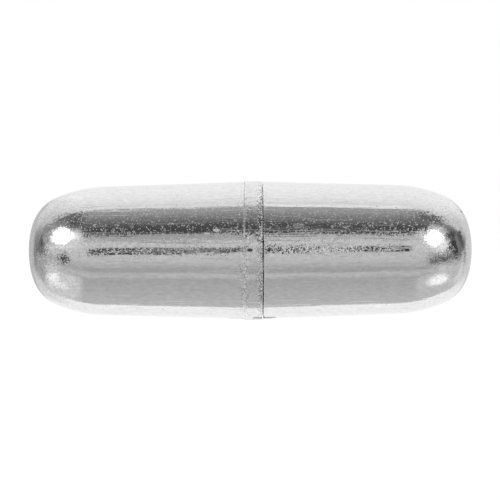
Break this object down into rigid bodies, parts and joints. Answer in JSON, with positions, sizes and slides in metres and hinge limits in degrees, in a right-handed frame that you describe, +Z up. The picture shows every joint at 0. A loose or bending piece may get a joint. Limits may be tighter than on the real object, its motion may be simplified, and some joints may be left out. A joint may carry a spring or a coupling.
{
  "type": "magnetic stir bar",
  "caption": "Stout magnetic stir bar: tapered, round-nosed metal shells butted on a slim joint ring around a sealed rod magnet; spins in a liquid above a stirrer's turning magnet.",
  "frame": {"origin": "centre of the bar's bounding box, on its axis midway between the tips of the two noses", "axes": "+X along the bar's axis, from the longer left shell to the right shell; +Z up"},
  "size_m": [0.04, 0.0126, 0.0126],
  "materials": {
    "shell_steel": "polished",
    "ring_steel": "polished",
    "magnet_alloy": "satin"
  },
  "bodies": {
    "root": {"left_shell": "shell_steel", "right_shell": "shell_steel", "joint_ring": "ring_steel", "bar_magnet": "magnet_alloy"}
  },
  "joints": []
}
